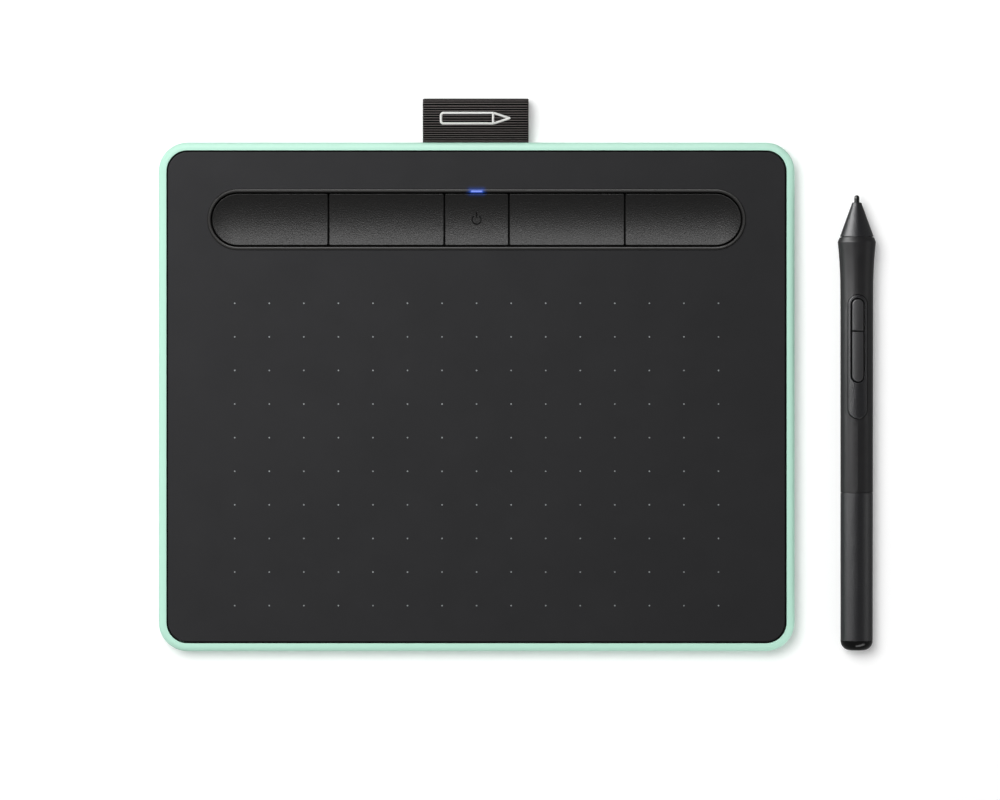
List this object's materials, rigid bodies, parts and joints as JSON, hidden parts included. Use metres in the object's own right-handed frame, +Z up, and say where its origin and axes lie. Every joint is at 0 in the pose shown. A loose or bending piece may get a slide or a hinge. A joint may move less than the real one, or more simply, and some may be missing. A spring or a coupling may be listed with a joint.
{
  "type": "pen drawing tablet",
  "caption": "Flat pen tablet with a dark dotted drawing deck, a pale green case, a scooped key strip, a webbing pen loop at the rear, and its two-button pen lying beside it.",
  "frame": {"origin": "the middle of the set's footprint (tablet, pen loop and pen together), on the desk", "axes": "+X to the right, towards the pen; +Y to the rear edge, where the keys and the pen loop are; +Z up out of the drawing surface"},
  "size_m": [0.2256, 0.1739, 0.012],
  "materials": {
    "case_plastic": "fine matt moulded ABS, pale mint green",
    "deck_plastic": "matt black with a fine paper-like grain",
    "bezel_plastic": "satin black moulded ridge",
    "key_plastic": "satin black with a fine sparkle grain",
    "foot_rubber": "dark grey rubber",
    "screw_steel": "zinc-plated steel",
    "light_clear": "clear acrylic lit blue from below",
    "board_green": "green solder mask",
    "board_black": "black solder mask",
    "switch_black": "black snap switch",
    "chip_black": "moulded chip package",
    "shield_steel": "thin tin-plated sheet",
    "battery_foil": "laminated foil pouch",
    "lead_plastic": "flexible lead insulation",
    "flex_film": "amber flexible circuit film",
    "connector_plastic": "cream connector housing",
    "dome_steel": "stainless snap dome",
    "usb_steel": "drawn nickel-plated shell",
    "tongue_plastic": "black contact carrier",
    "webbing": "black elastic webbing with fine cross ribs",
    "carrier_plastic": "dark grey moulding",
    "pen_soft": "soft-touch coated dark grey",
    "pen_grained": "fine grained black moulding",
    "pen_gloss": "polished black moulding",
    "pen_satin": "satin black moulding",
    "nib_plastic": "black acetal",
    "ferrite": "pressed ferrite",
    "copper_wire": "enamelled copper winding",
    "silicone": "soft translucent silicone"
  },
  "bodies": {
    "tablet": {"bottom_case": "case_plastic", "deck_panel": "deck_plastic", "key_bezel": "bezel_plastic", "foot_front_left": "foot_rubber", "foot_front_right": "foot_rubber", "foot_rear_left": "foot_rubber", "foot_rear_right": "foot_rubber", "case_screws": "screw_steel", "clamp_screws": "screw_steel", "key_carrier": "carrier_plastic", "light_guide": "light_clear", "key_dome_1": "dome_steel", "key_dome_2": "dome_steel", "key_dome_3": "dome_steel", "key_dome_4": "dome_steel", "power_dome": "dome_steel", "main_board": "board_green", "controller_chip": "chip_black", "radio_module": "usb_steel", "status_led": "connector_plastic", "flex_socket": "connector_plastic", "battery_connector": "connector_plastic", "shield_plate": "shield_steel", "sensor_board": "board_green", "battery": "battery_foil", "battery_leads": "lead_plastic", "sensor_flex": "flex_film", "usb_shell": "usb_steel", "usb_tongue": "tongue_plastic", "pen_loop": "webbing", "loop_clamp": "carrier_plastic"},
    "express_key_1": {"express_key_1": "key_plastic"},
    "express_key_2": {"express_key_2": "key_plastic"},
    "express_key_3": {"express_key_3": "key_plastic"},
    "express_key_4": {"express_key_4": "key_plastic"},
    "power_button": {"power_button": "key_plastic"},
    "pen": {"pen_front_barrel": "pen_soft", "pen_nose_cone": "pen_grained", "pen_button_panel": "pen_grained", "pen_chassis": "carrier_plastic", "pen_board": "board_black", "upper_switch": "switch_black", "lower_switch": "switch_black", "ferrite_core": "ferrite", "pen_coil": "copper_wire", "pressure_sensor": "usb_steel", "pressure_pad": "silicone", "spare_nib_1": "nib_plastic", "spare_nib_2": "nib_plastic", "spare_nib_3": "nib_plastic"},
    "pen_rear": {"pen_rear_barrel": "pen_grained", "pen_tail_cap": "pen_gloss"},
    "pen_upper_button": {"pen_upper_button": "pen_satin"},
    "pen_lower_button": {"pen_lower_button": "pen_satin"},
    "nib_plunger": {"nib_holder": "carrier_plastic"},
    "nib": {"pen_nib": "nib_plastic"}
  },
  "joints": [
    {"name": "express_key_1_press", "type": "slide", "parent": "tablet", "child": "express_key_1", "axis": [0, 0, -1], "range_m": [0, 0.0003], "stiffness_N_per_m": 800, "springref_m": -0.0012, "deforming": ["key_dome_1"]},
    {"name": "express_key_2_press", "type": "slide", "parent": "tablet", "child": "express_key_2", "axis": [0, 0, -1], "range_m": [0, 0.0003], "stiffness_N_per_m": 800, "springref_m": -0.0012, "deforming": ["key_dome_2"]},
    {"name": "express_key_3_press", "type": "slide", "parent": "tablet", "child": "express_key_3", "axis": [0, 0, -1], "range_m": [0, 0.0003], "stiffness_N_per_m": 800, "springref_m": -0.0012, "deforming": ["key_dome_3"]},
    {"name": "express_key_4_press", "type": "slide", "parent": "tablet", "child": "express_key_4", "axis": [0, 0, -1], "range_m": [0, 0.0003], "stiffness_N_per_m": 800, "springref_m": -0.0012, "deforming": ["key_dome_4"]},
    {"name": "power_button_press", "type": "slide", "parent": "tablet", "child": "power_button", "axis": [0, 0, -1], "range_m": [0, 0.0003], "stiffness_N_per_m": 800, "springref_m": -0.0012, "deforming": ["power_dome"]},
    {"name": "pen_lift", "type": "slide", "parent": "tablet", "child": "pen", "axis": [0, 0, 1], "range_m": [0, 0.12]},
    {"name": "nib_press", "type": "slide", "parent": "pen", "child": "nib_plunger", "axis": [0, -1, -0.0073], "range_m": [0, 0.0003], "stiffness_N_per_m": 1500, "springref_m": -0.0001, "deforming": ["pressure_pad"]},
    {"name": "nib_pull", "type": "slide", "parent": "nib_plunger", "child": "nib", "axis": [0, 1, 0.0073], "range_m": [0, 0.02]},
    {"name": "pen_upper_button_press", "type": "slide", "parent": "pen", "child": "pen_upper_button", "axis": [0, 0.0073, -1], "range_m": [0, 0.0003], "stiffness_N_per_m": 1200, "springref_m": -0.0006},
    {"name": "pen_lower_button_press", "type": "slide", "parent": "pen", "child": "pen_lower_button", "axis": [0, 0.0073, -1], "range_m": [0, 0.0003], "stiffness_N_per_m": 1200, "springref_m": -0.0006},
    {"name": "rear_barrel_pull", "type": "slide", "parent": "pen", "child": "pen_rear", "axis": [0, -1, -0.0073], "range_m": [0, 0.06]}
  ]
}
